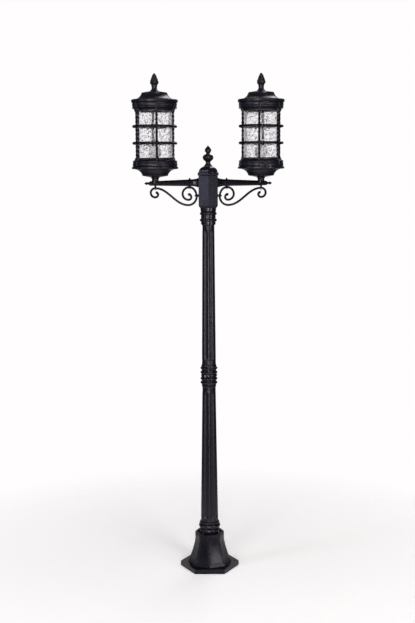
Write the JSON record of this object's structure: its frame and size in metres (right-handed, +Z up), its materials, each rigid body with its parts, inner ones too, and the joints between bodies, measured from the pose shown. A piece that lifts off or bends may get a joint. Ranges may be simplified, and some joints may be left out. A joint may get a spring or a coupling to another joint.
{
  "type": "twin-lantern lamp post",
  "caption": "Tall lamp post with a flared base, fluted tapered post and hub; two arms on scroll brackets carry round caged glass lanterns that light a path.",
  "frame": {"origin": "on the ground under the middle of the plinth, on the post's axis", "axes": "+Z up the post, +X along the right arm, -Y towards the viewer of the picture"},
  "size_m": [0.692, 0.239, 2.3001],
  "materials": {
    "black_casting": "black satin powder coat on a casting",
    "black_steel": "black satin paint on bent steel bar",
    "zinc_steel": "bright zinc plate",
    "clear_glass": "clear hammered glass",
    "holder_ceramic": "white glaze",
    "opal_bulb": "opal",
    "seal_rubber": "matt",
    "pale_plastic": "moulded"
  },
  "bodies": {
    "post": {"base_casting": "black_casting", "base_collar": "black_casting", "base_set_screws": "zinc_steel", "lower_post": "black_casting", "mid_collar": "black_casting", "mid_set_screws": "zinc_steel", "upper_post": "black_casting", "top_collar": "black_casting", "top_set_screws": "zinc_steel", "hub_locknut": "zinc_steel", "arm_hub": "black_casting", "hub_bridge": "zinc_steel", "hub_stud": "zinc_steel", "bridge_screws": "zinc_steel", "terminal_block": "pale_plastic", "left_arm": "black_casting", "right_arm": "black_casting", "arm_nuts": "zinc_steel", "band_knobs": "black_casting", "left_scroll": "black_steel", "right_scroll": "black_steel", "scroll_spacers": "black_steel", "scroll_screws": "zinc_steel", "hub_scroll_screws": "black_steel", "left_stem": "black_casting", "right_stem": "black_casting", "left_bowl": "black_casting", "right_bowl": "black_casting", "bowl_screws": "zinc_steel", "left_nipple": "zinc_steel", "right_nipple": "zinc_steel", "nipple_nuts": "zinc_steel", "left_lampholder": "holder_ceramic", "right_lampholder": "holder_ceramic", "left_lower_ring": "black_casting", "right_lower_ring": "black_casting", "left_glass_seals": "seal_rubber", "right_glass_seals": "seal_rubber", "left_glass": "clear_glass", "right_glass": "clear_glass", "left_cage_bars": "black_steel", "right_cage_bars": "black_steel", "left_cage_hoops": "black_steel", "right_cage_hoops": "black_steel", "left_upper_ring": "black_casting", "right_upper_ring": "black_casting", "left_roof_strap": "zinc_steel", "right_roof_strap": "zinc_steel", "strap_screws": "zinc_steel", "left_roof_stud": "zinc_steel", "right_roof_stud": "zinc_steel"},
    "hub_cap": {"hub_cap": "black_casting"},
    "hub_finial": {"hub_finial": "black_casting"},
    "left_roof": {"left_roof": "black_casting"},
    "left_roof_finial": {"left_roof_finial": "black_casting"},
    "right_roof": {"right_roof": "black_casting"},
    "right_roof_finial": {"right_roof_finial": "black_casting"},
    "left_bulb": {"left_bulb": "opal_bulb"},
    "right_bulb": {"right_bulb": "opal_bulb"}
  },
  "joints": [
    {"name": "hub_cap_lift", "type": "slide", "parent": "post", "child": "hub_cap", "axis": [0, 0, 1], "range_m": [0, 0.06]},
    {"name": "hub_finial_turn", "type": "hinge", "parent": "hub_cap", "child": "hub_finial", "pos_m": [0, 0, 1.93], "axis": [0, 0, 1], "continuous": true},
    {"name": "left_roof_lift", "type": "slide", "parent": "post", "child": "left_roof", "axis": [0, 0, 1], "range_m": [0, 0.12]},
    {"name": "left_roof_finial_turn", "type": "hinge", "parent": "left_roof", "child": "left_roof_finial", "pos_m": [-0.2405, 0, 2.26], "axis": [0, 0, 1], "continuous": true},
    {"name": "left_bulb_turn", "type": "hinge", "parent": "post", "child": "left_bulb", "pos_m": [-0.2405, 0, 1.9], "axis": [0, 0, 1], "range_deg": [0, 900]},
    {"name": "right_roof_lift", "type": "slide", "parent": "post", "child": "right_roof", "axis": [0, 0, 1], "range_m": [0, 0.12]},
    {"name": "right_roof_finial_turn", "type": "hinge", "parent": "right_roof", "child": "right_roof_finial", "pos_m": [0.2405, 0, 2.26], "axis": [0, 0, 1], "continuous": true},
    {"name": "right_bulb_turn", "type": "hinge", "parent": "post", "child": "right_bulb", "pos_m": [0.2405, 0, 1.9], "axis": [0, 0, 1], "range_deg": [0, 900]}
  ]
}
